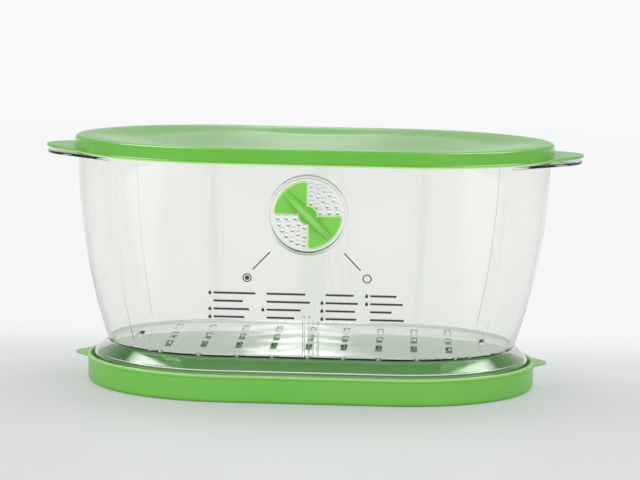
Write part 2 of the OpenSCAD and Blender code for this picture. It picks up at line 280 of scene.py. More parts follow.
def filleted(corners, steps=5):
    """A closed outline from (x, y, radius) corners, each rounded by its radius."""
    points = []
    for i, (x, y, radius) in enumerate(corners):
        here = Vector((x, y))
        if radius == 0:
            points.append((x, y))
            continue
        before = Vector(corners[i - 1][:2]) - here
        after = Vector(corners[(i + 1) % len(corners)][:2]) - here
        half = before.angle(after) / 2
        reach = radius / math.tan(half)
        centre = here + (before.normalized() + after.normalized()).normalized() * radius / math.sin(half)
        first = here + before.normalized() * reach - centre
        last = here + after.normalized() * reach - centre
        turn = first.angle_signed(last)
        for step in range(steps + 1):
            spoke = first.copy()
            spoke.rotate(Matrix.Rotation(-turn * step / steps, 2))
            points.append(tuple(centre + spoke))
    return points


def sharp(points):
    """Corners with no rounding, for a stretch that is already a curve."""
    return [(x, y, 0) for x, y in points]


def turned(point, degrees):
    """A point turned about the origin."""
    a = math.radians(degrees)
    x, y = point
    return (x * math.cos(a) - y * math.sin(a), x * math.sin(a) + y * math.cos(a))


# The long arc of the bin's wall, from the end of the upright band down to the waist
ARC_TOP_Z = RIM_Z - UPRIGHT_H
ARC_TOP_R = RIM_R - UPRIGHT_H * math.tan(math.radians(WALL_DRAFT))
DISH_R = ARC_TOP_R - WALL_T - PLUG_CLEARANCE - PLUG_T - DISH_INSET
ARC_CHORD = math.degrees(math.atan2(ARC_TOP_R - WAIST_R, ARC_TOP_Z - WAIST_Z))
WAIST_ANGLE = 2 * ARC_CHORD - WALL_DRAFT
WALL_ARC_R = math.hypot(ARC_TOP_R - WAIST_R, ARC_TOP_Z - WAIST_Z) / (
    2 * math.sin(math.radians(ARC_CHORD - WALL_DRAFT)))
WALL_ARC_C = (ARC_TOP_R - WALL_ARC_R * math.cos(math.radians(WALL_DRAFT)),
              ARC_TOP_Z + WALL_ARC_R * math.sin(math.radians(WALL_DRAFT)))


def wall_radius(z, depth=0.0):
    """Radius of the wall at a height on its long arc, at a depth below the outer face."""
    return WALL_ARC_C[0] + math.sqrt((WALL_ARC_R - depth) ** 2 - (z - WALL_ARC_C[1]) ** 2)


def wall_path(depth):
    """The wall from the upright band to the edge of the foot, at a depth below the outer face."""
    waist = math.radians(WAIST_ANGLE)
    flare = math.radians(FLARE_ANGLE)
    blend_c = (WAIST_R + WAIST_FILLET * math.cos(waist), WAIST_Z - WAIST_FILLET * math.sin(waist))
    blend_end = (blend_c[0] - WAIST_FILLET * math.cos(flare), blend_c[1] - WAIST_FILLET * math.sin(flare))
    shoulder_r = FOOT_R - SHOULDER_R * (1 - math.cos(flare))
    shoulder_z = blend_end[1] - (shoulder_r - blend_end[0]) / math.tan(flare)
    shoulder_c = (shoulder_r - SHOULDER_R * math.cos(flare), shoulder_z - SHOULDER_R * math.sin(flare))
    long_arc = arc(WALL_ARC_C, WALL_ARC_R - depth, -WALL_DRAFT, -WAIST_ANGLE, 36)
    blend = arc(blend_c, WAIST_FILLET + depth, 180 - WAIST_ANGLE, 180 + FLARE_ANGLE, 10)
    shoulder = arc(shoulder_c, SHOULDER_R - depth, FLARE_ANGLE, 0, 8)
    return long_arc + blend[1:] + shoulder


def bin_wall_section():
    """The bin's wall from its lipped rim to its foot, outside and back up inside."""
    lip_z = RIM_Z - RIM_LIP_H
    outside = [(RIM_R + RIM_LIP, RIM_Z, EDGE_ROUND), (RIM_R + RIM_LIP, lip_z, 0.2),
               (RIM_R, lip_z - RIM_LIP, 0.2)]
    outside += sharp(wall_path(0)) + [(FOOT_R, FOOT_Z, EDGE_ROUND)]
    inside = [(FOOT_R - WALL_T, FOOT_Z, EDGE_ROUND)] + sharp(reversed(wall_path(WALL_T)))
    inside += [(RIM_R - WALL_T, RIM_Z, EDGE_ROUND)]
    return filleted(outside + inside)


def bin_floor_section():
    """The floor plate at the waist, with its edge inside the wall."""
    edge_r = WALL_ARC_C[0] + (WALL_ARC_R - WALL_T / 2) * math.cos(math.radians(WAIST_ANGLE))
    return [(0, WAIST_Z), (edge_r / 2, WAIST_Z), (edge_r, WAIST_Z), (edge_r, WAIST_Z - BIN_FLOOR_T),
            (edge_r / 2, WAIST_Z - BIN_FLOOR_T), (0, WAIST_Z - BIN_FLOOR_T)]


def dish_path(z, steps=30):
    """A soft step over the dish's border, from the flat middle up to the rim."""
    inner = DISH_R - DISH_BORDER
    return [(inner + DISH_BORDER * i / steps, z - DISH_DEPTH * (1 + math.cos(math.pi * i / steps)) / 2)
            for i in range(steps + 1)]


def lid_section():
    """The dished lid with its skirt, bead and plug wall, out from the middle and back under."""
    plug_r = ARC_TOP_R - WALL_T - PLUG_CLEARANCE
    plug_z = LID_SEAT_Z - PLUG_H
    bead_z = SKIRT_Z + LID_BEAD_H
    rings = [(DISH_R - DISH_BORDER) * i / 8 for i in range(8)]
    top = [(ring, LID_Z - DISH_DEPTH, 0) for ring in rings] + sharp(dish_path(LID_Z))
    outside = [(SKIRT_R, LID_Z, LID_EDGE_R), (SKIRT_R, bead_z + LID_BEAD, 0.3),
               (SKIRT_R + LID_BEAD, bead_z, 0.3), (SKIRT_R + LID_BEAD, SKIRT_Z, 0.35)]
    under = [(SKIRT_R - SKIRT_T, SKIRT_Z, 0.3), (SKIRT_R - SKIRT_T, LID_SEAT_Z, 0),
             (plug_r, LID_SEAT_Z, 0), (plug_r, plug_z, EDGE_ROUND), (plug_r - PLUG_T, plug_z, EDGE_ROUND),
             (plug_r - PLUG_T, LID_SEAT_Z, 0)]
    inside = sharp(reversed(dish_path(LID_SEAT_Z)))
    inside += [(ring, LID_SEAT_Z - DISH_DEPTH, 0) for ring in reversed(rings)]
    return filleted(top + outside + under + inside, 7)


def tray_section():
    """The tray with its drafted wall and bead, out from the middle and back inside."""
    base_r = TRAY_R - TRAY_H * math.tan(math.radians(TRAY_DRAFT))
    bead_z = TRAY_H - TRAY_BEAD_H
    outside = [(0, 0, 0), (base_r / 2, 0, 0), (base_r, 0, TRAY_EDGE_R), (TRAY_R, bead_z - TRAY_BEAD, 0.4),
               (TRAY_R + TRAY_BEAD, bead_z, 0.4), (TRAY_R + TRAY_BEAD, TRAY_H, 0.6)]
    inside = [(TRAY_R - TRAY_WALL, TRAY_H, 0.6), (base_r - TRAY_WALL, TRAY_FLOOR, 1.0),
              (base_r / 2, TRAY_FLOOR, 0), (0, TRAY_FLOOR, 0)]
    return filleted(outside + inside, 7)


def leaf_spread(end_r, reach, nose_r):
    """The angle on a round end, in radians, at which a leaf leaves it."""
    return math.acos((end_r - nose_r) / (reach - nose_r - HALF_RUN))


def leaf_outline(end_r, reach, nose_r, inner_r):
    """A leaf that leaves a round end along its tangents and closes in a round nose."""
    spread = math.degrees(leaf_spread(end_r, reach, nose_r))
    nose = arc((reach - nose_r, 0), nose_r, -spread, spread, 64)
    root = arc((HALF_RUN, 0), inner_r, spread, -spread, 48)
    outer = [turned((end_r, 0), side * spread) for side in (1, -1)]
    return nose + [(outer[0][0] + HALF_RUN, outer[0][1])] + root + [(outer[1][0] + HALF_RUN, outer[1][1])]


def thumb_outline():
    """A short tab with a round nose, from inside the tray's wall outwards."""
    root_r = TRAY_R - TRAY_WALL / 2
    root = Vector((HALF_RUN + math.sqrt(root_r ** 2 - THUMB_ROOT ** 2), THUMB_ROOT))
    to_nose = Vector((THUMB_X, 0)) - root
    direction = math.atan2(to_nose.y, to_nose.x) + math.asin(THUMB_NOSE_R / to_nose.length)
    lean = math.degrees(direction) + 90
    inner = math.degrees(math.atan2(THUMB_ROOT, root.x - HALF_RUN))
    return arc((THUMB_X, 0), THUMB_NOSE_R, -lean, lean, 32) + arc((HALF_RUN, 0), root_r, inner, -inner, 24)


def wings_outline():
    """The dial seen from the front: two quarter wings on one diagonal and a round hub between them."""
    corner_y = math.sqrt((WING_R - WING_CORNER_R) ** 2 - WING_CORNER_R ** 2)
    corner_turn = math.degrees(math.atan2(corner_y, -WING_CORNER_R))
    half = arc((0, 0), HUB_R, 0, 90, 16)
    half += arc((-WING_CORNER_R, corner_y), WING_CORNER_R, 0, corner_turn, 8)
    half += arc((0, 0), WING_R, corner_turn, 270 - corner_turn, 40)[1:-1]
    half += arc((-corner_y, WING_CORNER_R), WING_CORNER_R, 270 - corner_turn, 270, 8)
    return half + [turned(point, 180) for point in half]


# Meshes

def new_object(name, data):
    """An object in the scene, with a mesh, lamp or camera as its data."""
    obj = bpy.data.objects.new(name, data)
    scene.collection.objects.link(obj)
    return obj


def object_of(name, bm):
    """An object with a bmesh's form. It frees the bmesh."""
    mesh = bpy.data.meshes.new(name)
    bm.to_mesh(mesh)
    bm.free()
    return new_object(name, mesh)


def mesh_piece(name, points, faces, place=None):
    """A closed mesh from points in millimetres, with its doubles merged and its faces outwards."""
    bm = bmesh.new()
    verts = [bm.verts.new(Vector(point) * MM) for point in points]
    for face in faces:
        bm.faces.new([verts[i] for i in face])
    bmesh.ops.remove_doubles(bm, verts=bm.verts, dist=MERGE_DIST)
    bmesh.ops.recalc_face_normals(bm, faces=bm.faces)
    if place:
        bm.transform(place)
    return object_of(name, bm)


def quads(loops, rows, loops_close=True, rows_close=True):
    """Faces between neighbouring loops of points, each loop with the same number of rows."""
    return [(i * rows + k, (i + 1) % loops * rows + k, (i + 1) % loops * rows + (k + 1) % rows,
             i * rows + (k + 1) % rows)
            for i in range(loops if loops_close else loops - 1)
            for k in range(rows if rows_close else rows - 1)]


def plan_columns(turn_angles):
    """Each column round the plan, anticlockwise from the front right: the X of its centre, its direction
    and its turn angle, which is None on the straight runs."""
    columns = []
    for side in (1, -1):
        for angle in turn_angles:
            a = math.radians(angle) + (0 if side == 1 else math.pi)
            columns.append((side * HALF_RUN, math.cos(a), math.sin(a), angle))
        for i in range(1, RUN_STEPS):
            columns.append((side * HALF_RUN * (1 - 2 * i / RUN_STEPS), 0, side, None))
    return columns


def swept(name, section, ring=True, turn_angles=EVEN_TURN, proud=None):
    """Carries a section of (radius, height) points round the plan. A ring's section closes on itself,
    and a plate's runs from the middle to the middle. proud(angle, index) adds to a point's radius."""
    columns = plan_columns(turn_angles)
    points = []
    for centre_x, dx, dy, angle in columns:
        for index, (radius, z) in enumerate(section):
            r = radius + (proud(angle, index) if proud else 0)
            points.append((centre_x + r * dx, r * dy, z))
    return mesh_piece(name, points, quads(len(columns), len(section), rows_close=ring))


def lathe(name, section, steps=96, place=None):
    """A closed section of (radius, height) points turned round the Z axis."""
    points = []
    for i in range(steps):
        a = 2 * math.pi * i / steps
        points += [(r * math.cos(a), r * math.sin(a), z) for r, z in section]
    return mesh_piece(name, points, quads(steps, len(section)), place)


def slab(name, outline, low, high, place=None):
    """A flat outline given a thickness."""
    n = len(outline)
    points = [(x, y, low) for x, y in outline] + [(x, y, high) for x, y in outline]
    faces = [tuple(range(n))[::-1], tuple(range(n, 2 * n))] + quads(2, n, loops_close=False)
    return mesh_piece(name, points, faces, place)


def settle(obj):
    """Makes an object's modifiers part of its mesh."""
    graph = bpy.context.evaluated_depsgraph_get()
    graph.update()
    mesh = bpy.data.meshes.new_from_object(obj.evaluated_get(graph))
    obj.modifiers.clear()
    old, obj.data = obj.data, mesh
    bpy.data.meshes.remove(old)
    return obj


def rounded_edges(obj, width, segments=3, angle=50):
    """Rounds an object's sharp edges, with the width in millimetres."""
    bevel = obj.modifiers.new("round", "BEVEL")
    bevel.width = width * MM
    bevel.segments = segments
    bevel.limit_method = "ANGLE"
    bevel.angle_limit = math.radians(angle)
    bevel.use_clamp_overlap = True
    return settle(obj)


def combined(obj, tools, operation):
    """Joins solids to an object, or cuts them out of it, and takes them away."""
    for tool in tools:
        change = obj.modifiers.new(operation, "BOOLEAN")
        change.operation = operation
        change.solver = "MANIFOLD"
        change.object = tool
    settle(obj)
    for tool in tools:
        bpy.data.objects.remove(tool)
    return obj


def smoothed(obj):
    """Shades an object smooth between its sharp edges, with large faces kept true."""
    bm = bmesh.new()
    bm.from_mesh(obj.data)
    bmesh.ops.dissolve_degenerate(bm, dist=MERGE_DIST, edges=bm.edges)
    for face in bm.faces:
        face.smooth = True
    for edge in bm.edges:
        edge.smooth = edge.calc_face_angle(0) < math.radians(SHARP_ANGLE)
    bm.to_mesh(obj.data)
    bm.free()
    weighted = obj.modifiers.new("large_faces", "WEIGHTED_NORMAL")
    weighted.mode = "FACE_AREA"
    weighted.keep_sharp = True
    return settle(obj)


def finished(obj, material, body, node=None):
    """Gives a piece its material and body, and hides the solid that it stands for, if any."""
    obj.data.materials.clear()
    obj.data.materials.append(material)
    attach(obj, body)
    if node:
        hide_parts(node)
    return obj


def painted_highlights_marked(obj, level):
    """Writes the rim attribute, a painted highlight mask from 0 to 1, by a vertex's place in millimetres and
    its normal.
    """
    rim = obj.data.attributes.new("rim", "FLOAT", "POINT")
    for vertex, mark in zip(obj.data.vertices, rim.data):
        mark.value = min(max(level(vertex.co / MM, vertex.normal), 0), 1)
    return obj


# Nodes

def feed(tree, node, inputs):
    """Links a node's inputs to sockets, or sets them to plain values."""
    for label, value in inputs.items():
        if isinstance(value, bpy.types.NodeSocket):
            tree.links.new(value, node.inputs[label])
        else:
            node.inputs[label].default_value = value


def made(tree, kind, inputs=None, output=0, **settings):
    """One output of a new node with settings and inputs."""
    node = tree.nodes.new(kind)
    for name, value in settings.items():
        setattr(node, name, value)
    feed(tree, node, inputs or {})
    return node.outputs[output]


def maths(tree, operation, *values):
    """The result of a math node."""
    return made(tree, "ShaderNodeMath", dict(enumerate(values)), operation=operation)


def blend(tree, share, first, second):
    """A colour that goes from the first to the second with a share."""
    return made(tree, "ShaderNodeMix", {"Factor": share, "A": first, "B": second}, "Result", data_type="RGBA")


def mixed(tree, share, first, second):
    """A shader that goes from the first to the second with a share."""
    return made(tree, "ShaderNodeMixShader", {0: share, 1: first, 2: second})


def fade(tree, value, low, high, start, end):
    """A value that goes softly from start to end while another one goes from low to high."""
    return made(tree, "ShaderNodeMapRange", {
        "Value": value, "From Min": low, "From Max": high, "To Min": start, "To Max": end},
        interpolation_type="SMOOTHSTEP")


def new_tree(name, kind, inputs, outputs):
    """A tree with named sockets, with what its input node gives and its output node."""
    tree = bpy.data.node_groups.new(name, kind)
    for side, sockets in (("INPUT", inputs), ("OUTPUT", outputs)):
        for label, socket in sockets.items():
            tree.interface.new_socket(label, in_out=side, socket_type="NodeSocket" + socket)
    return tree, tree.nodes.new("NodeGroupInput").outputs, tree.nodes.new("NodeGroupOutput")


# Geometry trees for what repeats

def copies_tree(name, inputs, position):
    """Copies of a shape in a material, each at position(tree, given inputs, index of the copy)."""
    tree, given, end = new_tree(name, "GeometryNodeTree", {
        "Shape": "Object", "Count": "Int", "Material": "Material", **inputs}, {"Geometry": "Geometry"})
    place = position(tree, given, made(tree, "GeometryNodeInputIndex"))
    points = made(tree, "GeometryNodePoints", {"Count": given["Count"], "Position": place})
    shape = made(tree, "GeometryNodeObjectInfo", {"Object": given["Shape"]}, "Geometry")
    copies = made(tree, "GeometryNodeInstanceOnPoints", {"Points": points, "Instance": shape})
    real = made(tree, "GeometryNodeRealizeInstances", {"Geometry": copies})
    coated = made(tree, "GeometryNodeSetMaterial", {"Geometry": real, "Material": given["Material"]})
    feed(tree, end, {"Geometry": coated})
    return tree


def in_a_row(tree, given, index):
    """The first copy is at the start, and the others are a step apart."""
    return made(tree, "ShaderNodeVectorMath", {0: given["Step"], 1: index, 2: given["Start"]},
                operation="MULTIPLY_ADD")


def on_an_arc(tree, given, index):
    """The copies are evenly spread about the Z axis, from one angle to another."""
    share = maths(tree, "DIVIDE", index, maths(tree, "SUBTRACT", given["Count"], 1))
    span = maths(tree, "SUBTRACT", given["To"], given["From"])
    angle = maths(tree, "MULTIPLY_ADD", span, share, given["From"])
    x, y = (maths(tree, "MULTIPLY", maths(tree, turn, angle), given["Radius"]) for turn in ("COSINE", "SINE"))
    return made(tree, "ShaderNodeCombineXYZ", {"X": x, "Y": y})


def grown(name, tree, values, place=None):
    """A plain mesh from a geometry tree with its named inputs set."""
    obj = new_object(name, bpy.data.meshes.new(name))
    grower = obj.modifiers.new("copies", "NODES")
    grower.node_group = tree
    for item in tree.interface.items_tree:
        if item.in_out == "INPUT":
            grower[item.identifier] = values[item.name]
    settle(obj)
    if place:
        obj.data.transform(place)
    return obj


# Materials

def linear(red, green, blue):
    """A colour from its 0 to 255 screen values."""
    def channel(value):
        value /= 255
        return value / 12.92 if value <= 0.04045 else ((value + 0.055) / 1.055) ** 2.4
    return (channel(red), channel(green), channel(blue), 1.0)


# Colour of the painted highlights on the green plastic's thin edges and crests
PAINTED_HIGHLIGHT_COLOUR = linear(190, 232, 150)
SHEEN_COLOUR = linear(222, 255, 205)


def moulded_finish():
    """Group for moulded plastic: fine grain, slow flow waves and faint rub marks that shift the finish."""
    tree, given, end = new_tree(
        "moulded_finish", "ShaderNodeTree",
        {"Color": "Color", "Shade": "Color", "Roughness": "Float", "Rub": "Float", "Grain": "Float",
         "Waves": "Float"},
        {"Color": "Color", "Roughness": "Float", "Normal": "Vector"})
    place = made(tree, "ShaderNodeTexCoord", output="Object")

    def noise(scale, detail, stretch=(1, 1, 1)):
        vector = made(tree, "ShaderNodeMapping", {"Vector": place, "Scale": stretch})
        return made(tree, "ShaderNodeTexNoise", {"Vector": vector, "Scale": scale, "Detail": detail}, "Fac")

    share = made(tree, "ShaderNodeMapRange", {"Value": noise(14, 3), "From Min": 0.3, "From Max": 0.7})
    colour = blend(tree, share, given["Color"], given["Shade"])
    rub = maths(tree, "MULTIPLY", maths(tree, "SUBTRACT", noise(60, 6, (0.35, 1, 1.6)), 0.5), given["Rub"])
    waves = made(tree, "ShaderNodeBump", {
        "Distance": 0.001, "Height": noise(22, 1), "Strength": given["Waves"]})
    grain = made(tree, "ShaderNodeBump", {
        "Distance": 0.0001, "Height": noise(2600, 2), "Strength": given["Grain"], "Normal": waves})
    roughness = maths(tree, "ADD", rub, given["Roughness"])
    feed(tree, end, {"Color": colour, "Roughness": roughness, "Normal": grain})
    return tree


def new_material(name):
    """A material with its tree and its Principled shader."""
    material = bpy.data.materials.new(name)
    material.use_nodes = True
    return material, material.node_tree, material.node_tree.nodes["Principled BSDF"]


def feed_finish(tree, group, shader, values):
    """Places the finish group in a material and feeds the shader from it."""
    finish = tree.nodes.new("ShaderNodeGroup")
    finish.node_tree = group
    feed(tree, finish, values)
    for label, source in (("Base Color", "Color"), ("Roughness", "Roughness"), ("Normal", "Normal")):
        tree.links.new(finish.outputs[source], shader.inputs[label])


def green_plastic(name, group, colour, shade, roughness, sheen):
    """Satin green plastic with a soft sheen, and a painted highlight, a paler colour, where the piece's rim
    attribute marks a thin edge.
    """
    material, tree, shader = new_material(name)
    feed_finish(tree, group, shader, {
        "Color": colour, "Shade": shade, "Roughness": roughness, "Rub": 0.03, "Grain": 0.03, "Waves": 0.03})
    # The rim attribute blends the painted highlight colour into the base colour
    rim = made(tree, "ShaderNodeAttribute", output="Fac", attribute_name="rim")
    feed(tree, shader, {
        "Base Color": blend(tree, rim, shader.inputs["Base Color"].links[0].from_socket, PAINTED_HIGHLIGHT_COLOUR),
        "IOR": 1.56, "Sheen Weight": sheen, "Sheen Roughness": 0.25, "Sheen Tint": SHEEN_COLOUR})
    return material


def clear_plastic(group):
    """Polished clear plastic, a little grey where it is looked through edge on. Light passes into the bin."""
    material, tree, shader = new_material("clear_plastic")
    feed_finish(tree, group, shader, {
        "Color": linear(252, 252, 250), "Shade": linear(248, 249, 247), "Roughness": 0.012, "Rub": 0.03,
        "Grain": 0.0, "Waves": 0.12})
    feed(tree, shader, {"IOR": 1.53, "Transmission Weight": 1.0})
    rays = tree.nodes.new("ShaderNodeLightPath").outputs
    lighting = maths(tree, "MAXIMUM", rays["Is Shadow Ray"], rays["Is Diffuse Ray"])
    passing = made(tree, "ShaderNodeBsdfTransparent", {"Color": linear(238, 244, 241)})
    body = made(tree, "ShaderNodeVolumeAbsorption", {"Color": (0.83, 0.85, 0.84, 1), "Density": 18})
    feed(tree, tree.nodes["Material Output"], {
        "Surface": mixed(tree, lighting, shader.outputs["BSDF"], passing), "Volume": body})
    return material


def printed_ink(group):
    """Dark ink, a little uneven."""
    material, tree, shader = new_material("printed_ink")
    feed_finish(tree, group, shader, {
        "Color": linear(52, 50, 52), "Shade": linear(64, 61, 62), "Roughness": 0.42, "Rub": 0.2,
        "Grain": 0.2, "Waves": 0.0})
    return material


# Pieces of the bin

VENT = Matrix.Translation(vent_place * MM) @ Matrix.Rotation(
    math.pi / 2 + math.atan2(vent_inward.z, vent_inward.y), 4, "X")
HALF_ROUND = Matrix.Rotation(math.pi, 4, "Z")


def mid_wall(z):
    """The radius in the middle of the wall, which tells its outer face from its inner one."""
    path = wall_path(WALL_T / 2)
    for (r1, z1), (r2, z2) in zip(path, path[1:]):
        if z2 <= z <= z1:
            return r1 + (r2 - r1) * (z1 - z) / max(z1 - z2, 1e-9)
    return path[0][0] if z > path[0][1] else path[-1][0]


def bin_wall():
    """The wall and foot in one sweep, with fine raised lines where the mould parts."""
    section = bin_wall_section()
    low, high = WAIST_Z + PARTING_MARGIN, RIM_Z - RIM_LIP_H - PARTING_MARGIN
    outer = [low < z < high and radius > mid_wall(z) for radius, z in section]
    near = [line + side * PARTING_WIDTH * share
            for line in PARTING_ANGLES for side in (-1, 1) for share in PARTING_SHARES]
    crest = PARTING_WIDTH * (PARTING_SHARES[0] + 0.01)

    def proud(angle, index):
        if angle is None or not outer[index]:
            return 0
        away = min(abs(angle - line) for line in PARTING_ANGLES)
        return PARTING_PROUD if away <= crest else 0

    return swept("bin_shell", section, turn_angles=sorted(EVEN_TURN + near), proud=proud)


def rib(offset, place=None):
    """One rib of the divider's channel, standing on the wall's inner face."""
    low, high, steps = WAIST_Z - BIN_FLOOR_T / 2, WAIST_Z + RIB_H, 12
    heights = [low + (high - low) * i / steps for i in range(steps + 1)]
    outline = [(-wall_radius(z, WALL_T / 2), z) for z in heights]
    outline += [(-wall_radius(z, WALL_T + RIB_DEPTH), z) for z in reversed(heights)]
    n = len(outline)
    points = [(offset + side * RIB_T / 2, y, z) for side in (-1, 1) for y, z in outline]
    faces = [tuple(range(n)), tuple(range(n, 2 * n))[::-1]] + quads(2, n, loops_close=False)
    return rounded_edges(mesh_piece("rib", points, faces, place), RIB_ROUND, segments=2)


def handle(place=None):
    """A leaf handle under the bin's rim."""
    outline = leaf_outline(RIM_R, HANDLE_REACH, HANDLE_NOSE_R, RIM_R - WALL_T / 2)
    return rounded_edges(slab("handle", outline, HANDLE_Z, HANDLE_Z + HANDLE_T, place), EDGE_ROUND)


def vent_seat():
    """The seat's ring, its sunk plate and the bore for the stem."""
    section = filleted([
        (BORE_R, PLATE_BACK, 0.2), (SEAT_R, PLATE_BACK, 0.4), (SEAT_R, SEAT_PROUD, 0.6),
        (SEAT_R - SEAT_RING_T, SEAT_PROUD, 0.6), (SEAT_R - SEAT_RING_T, -PLATE_DEPTH, 0.3),
        (BORE_R, -PLATE_DEPTH, 0.2)])
    return lathe("vent_seat", section, 128, VENT)


def air_hole_cutters(rows, material):
    """Cutters for the air holes, in arcs of two quarters, each with a small sink at its mouth."""
    low, high = PLATE_BACK - CUT_PAST, -PLATE_DEPTH + CUT_PAST
    mouth_r = HOLE_R + HOLE_SINK
    shape = lathe("hole_cutter", [(0, low), (HOLE_R, low), (HOLE_R, -PLATE_DEPTH - HOLE_SINK),
                                  (mouth_r, -PLATE_DEPTH), (mouth_r, high), (0, high)], 24)
    cutters = []
    for quarter in (0, math.pi):
        for row, count in enumerate(HOLE_COUNTS):
            radius = HOLE_ROW_R - row * HOLE_ROW_STEP
            first = math.asin(HOLE_INSET / radius)
            cutters.append(grown("hole_cutters", rows, {
                "Shape": shape, "Count": count, "Radius": radius * MM, "From": quarter + first,
                "To": quarter + math.pi / 2 - first, "Material": material}, VENT))
    bpy.data.objects.remove(shape)
    return cutters


def slot_cutters(rows, material):
    """Cutters for the drain slots, in three rows, each flared a little at the top."""
    straight = SLOT_L - SLOT_W
    low, high = WAIST_Z - BIN_FLOOR_T, WAIST_Z
    levels = [(low - CUT_PAST, 0), (high - SLOT_FLARE_H, 0), (high + SLOT_FLARE_TOP, SLOT_FLARE),
              (high + CUT_PAST, SLOT_FLARE)]
    rings = [arc((0, straight / 2), SLOT_W / 2 + flare, 0, 180, 12)
             + arc((0, -straight / 2), SLOT_W / 2 + flare, 180, 360, 12) for z, flare in levels]
    n = len(rings[0])
    points = [(x, y, z) for ring, (z, flare) in zip(rings, levels) for x, y in ring]
    faces = [tuple(range(n))[::-1], tuple(range(3 * n, 4 * n))] + quads(4, n, loops_close=False)
    shape = mesh_piece("slot_cutter", points, faces)
    cutters = []
    for row, count in SLOT_COUNTS.items():
        start = (-SLOT_PITCH * (count - 1) / 2 * MM, row * SLOT_ROW_PITCH * MM, 0)
        cutters.append(grown("slot_cutters", rows, {
            "Shape": shape, "Count": count, "Start": start, "Step": (SLOT_PITCH * MM, 0, 0),
            "Material": material}))
    bpy.data.objects.remove(shape)
    return cutters


def make_bin(material, straight_row, arc_row):
    """The bin: wall, floor, handles and ribs, with its slots and the vent's seat set in."""
    shell = bin_wall()
    ribs = [rib(side * (CHANNEL_W + RIB_T) / 2, place) for place in (None, HALF_ROUND) for side in (-1, 1)]
    floor = swept("bin_floor", bin_floor_section(), ring=False)
    combined(shell, [floor, handle(), handle(HALF_ROUND)] + ribs, "UNION")
    opening_r = SEAT_R - SEAT_RING_T / 2
    opening = lathe("seat_opening", [(0, PLATE_BACK), (opening_r, PLATE_BACK), (opening_r, -PLATE_BACK),
                                     (0, -PLATE_BACK)], 128, VENT)
    combined(shell, slot_cutters(straight_row, material) + [opening], "DIFFERENCE")
    seat = combined(vent_seat(), air_hole_cutters(arc_row, material), "DIFFERENCE")
    combined(shell, [seat], "UNION")
    return finished(smoothed(shell), material, "base", "bin")


# The dial

def grip_blade():
    """The blade on the dial's diagonal: drafted sides, a rounded crest, and ends that fall to the rim."""
    crest_z = WING_FRONT + GRIP_H
    crest_arc_r = (GRIP_REACH ** 2 + GRIP_H ** 2) / (2 * GRIP_H)
    steps, low = 48, WING_FRONT - WING_T / 2
    loops = []
    for i in range(steps + 1):
        along = -GRIP_REACH + 2 * GRIP_REACH * i / steps
        share = 1 - abs(along) / GRIP_REACH
        top = crest_z - crest_arc_r + math.sqrt(crest_arc_r ** 2 - along ** 2)
        top = max(top, WING_FRONT + GRIP_END_H)
        rise = (top - WING_FRONT) / GRIP_H
        root = (GRIP_ROOT_W[0] + (GRIP_ROOT_W[1] - GRIP_ROOT_W[0]) * share) / 2
        crest = (GRIP_CREST_W[0] + (GRIP_CREST_W[1] - GRIP_CREST_W[0]) * share) / 2
        crest = root + (crest - root) * rise
        soft = min(GRIP_SOFT, 0.8 * crest, 0.7 * (top - WING_FRONT))
        ring = filleted([(-root, low, 0), (root, low, 0), (root, WING_FRONT, 0), (crest, top, soft),
                         (-crest, top, soft), (-root, WING_FRONT, 0)], 4)
        loops.append([(along, across, z) for across, z in ring])
    n = len(loops[0])
    points = [point for ring in loops for point in ring]
    faces = [tuple(range(n)), tuple(range(steps * n, (steps + 1) * n))[::-1]]
    faces += quads(steps + 1, n, loops_close=False)
    return mesh_piece("grip_blade", points, faces, VENT @ Matrix.Rotation(-math.pi / 4, 4, "Z"))


def snap_stem():
    """The stem that passes the plate, with its slit snap head behind it."""
    lip_z = PLATE_BACK - DIAL_GAP
    end_z = lip_z - SNAP_H
    top = WING_BACK + WING_T / 2
    section = filleted([(0, end_z, 0), (STEM_R - 0.25, end_z, 0.3), (STEM_R + SNAP_LIP, lip_z, 0.25),
                        (STEM_R, lip_z, 0), (STEM_R, top, 0), (0, top, 0)], 3)
    stem = lathe("snap_stem", section, 64, VENT)
    hollow_top = WING_BACK - 0.6
    low = end_z - CUT_PAST
    hollow = lathe("hollow", [(0, low), (STEM_HOLLOW_R, low), (STEM_HOLLOW_R, hollow_top), (0, hollow_top)],
                   32, VENT)
    half = SLIT_W / 2
    bar = [(-2 * STEM_R, -half), (2 * STEM_R, -half), (2 * STEM_R, half), (-2 * STEM_R, half)]
    slits = [slab("slit", [turned(point, turn) for point in bar], low, lip_z, VENT) for turn in (0, 90)]
    return combined(stem, [hollow] + slits, "DIFFERENCE")


def edge_distance(point, outline):
    """How far a point is from a closed outline."""
    def from_side(a, b):
        run = b - a
        return (a + run * min(max((point - a).dot(run) / run.length_squared, 0), 1) - point).length
    corners = [Vector(corner) for corner in outline]
    return min(from_side(a, b) for a, b in zip(corners, corners[1:] + corners[:1]) if a != b)


def flats_inset(obj):
    """Insets an object's two largest faces, so that the painted highlight marked at their rim ends near it.
    """
    bm = bmesh.new()
    bm.from_mesh(obj.data)
    flats = sorted(bm.faces, key=lambda face: face.calc_area())[-2:]
    bmesh.ops.inset_individual(bm, faces=flats, thickness=DIAL_HIGHLIGHT_FADE * MM)
    bm.to_mesh(obj.data)
    bm.free()
    return obj


